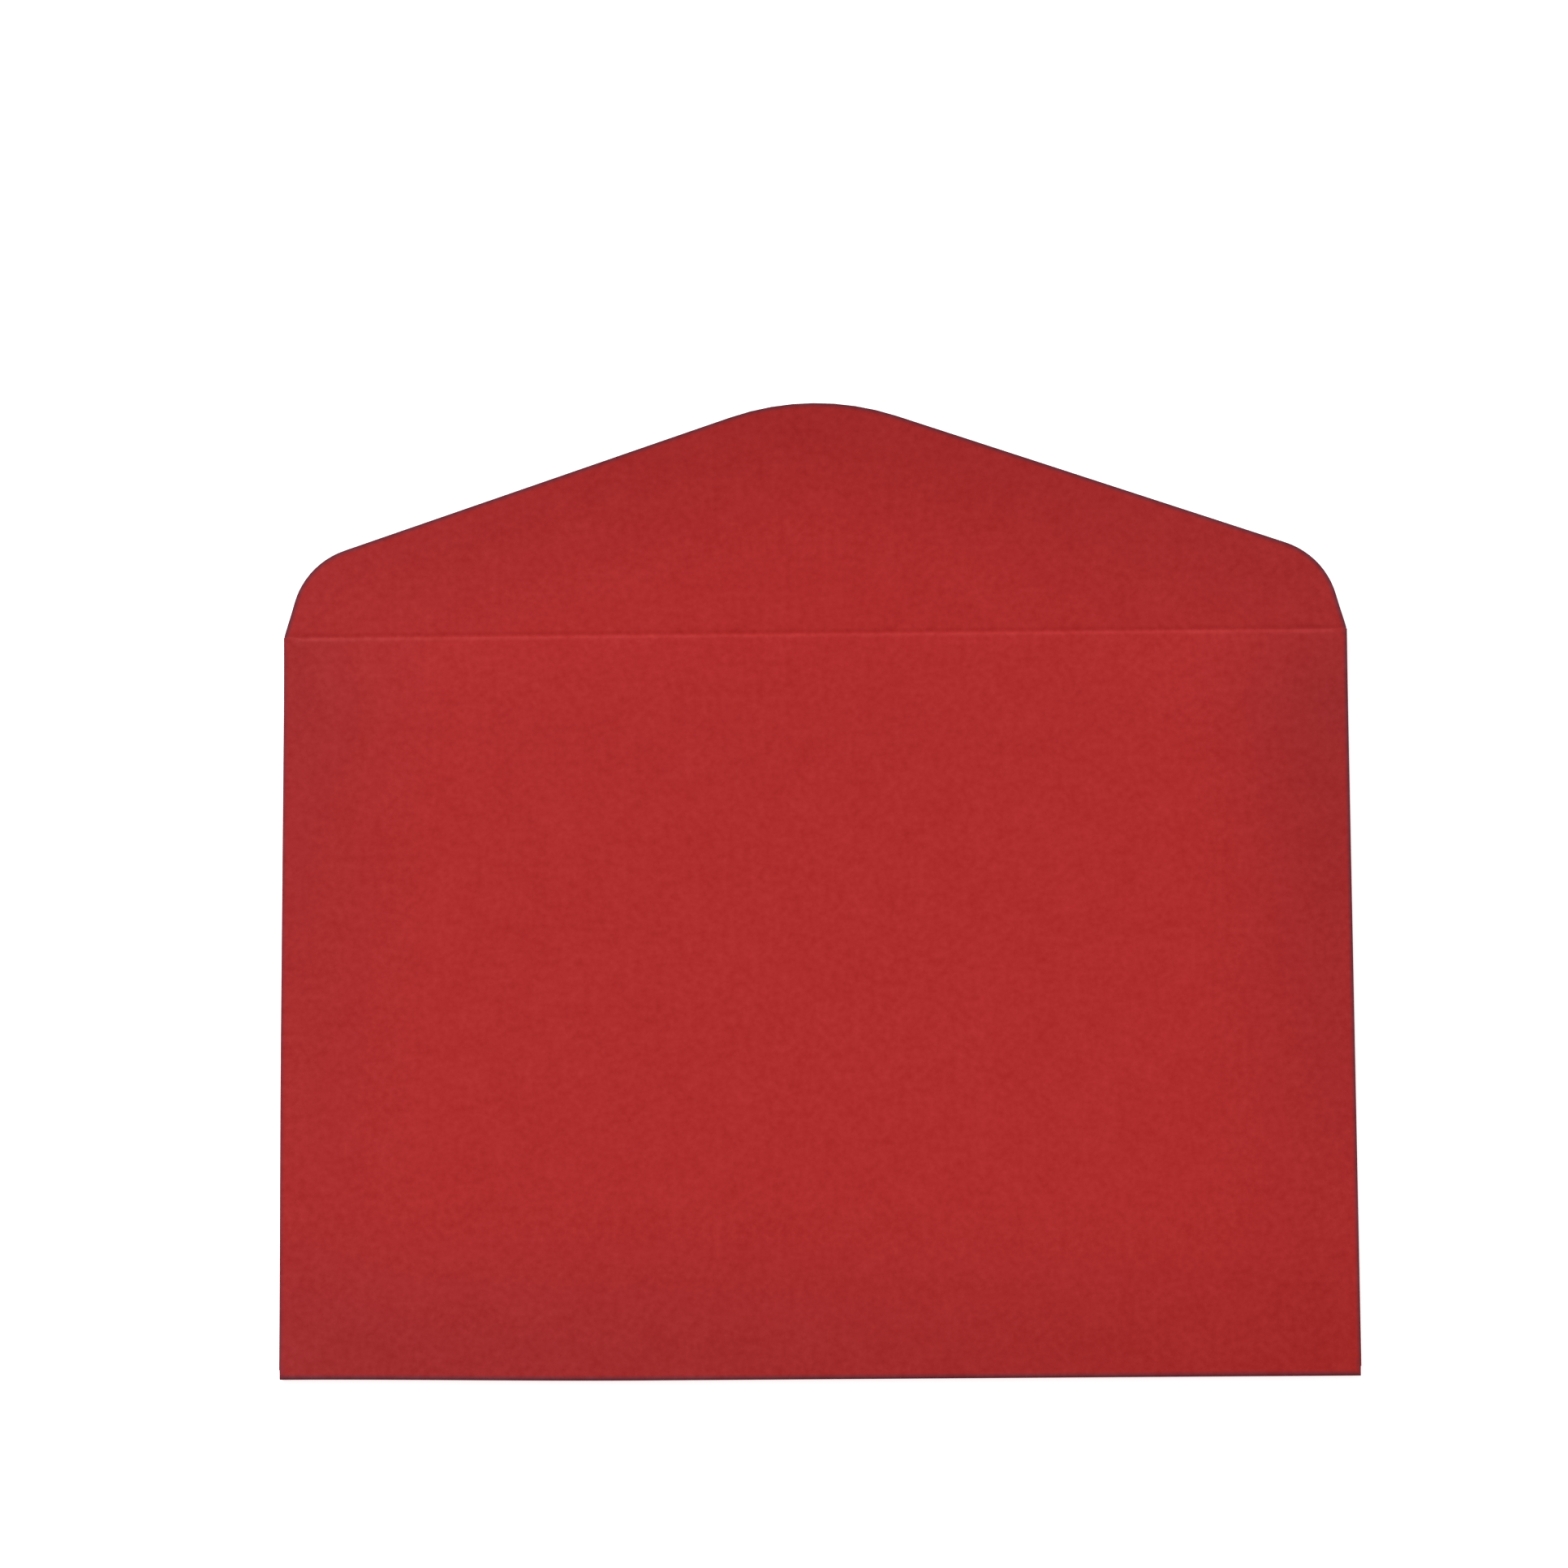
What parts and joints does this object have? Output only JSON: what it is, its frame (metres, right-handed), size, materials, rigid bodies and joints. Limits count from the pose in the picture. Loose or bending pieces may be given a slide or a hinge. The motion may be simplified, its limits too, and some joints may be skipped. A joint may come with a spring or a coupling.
{
  "type": "envelope",
  "caption": "Plain letter envelope with side seams, an open pocket and a hinged, gummed seal flap with rounded shoulders and tip.",
  "frame": {"origin": "middle of the body rectangle, on the outer face of the back panel that the envelope lies on", "axes": "+X along the width, to the right seen from the front; +Y from the bottom fold towards the flap; +Z out of the front panel"},
  "size_m": [0.162, 0.15, 0.0017],
  "materials": {
    "paper_outside": "uncoated wove paper dyed red through, 120 g/m2, matt",
    "paper_inside": "the same red paper, inner side",
    "seam_gum": "dried glue film between two layers of paper",
    "seal_gum": "dried remoistenable gum, clear and slightly glossy over the red paper"
  },
  "bodies": {
    "pocket": {"front_panel": "paper_outside", "back_panel": "paper_outside", "left_side_fold": "paper_outside", "right_side_fold": "paper_outside", "bottom_fold": "paper_outside", "left_side_flap": "paper_inside", "right_side_flap": "paper_inside", "left_seam_gum": "seam_gum", "right_seam_gum": "seam_gum", "flap_crease": "paper_outside"},
    "flap": {"seal_flap": "paper_outside", "seal_gum": "seal_gum"}
  },
  "joints": [
    {"name": "flap_hinge", "type": "hinge", "parent": "pocket", "child": "flap", "pos_m": [0, 0.057, 0.00071], "axis": [-1, 0, 0], "range_deg": [0, 180], "deforming": ["flap_crease"]}
  ]
}
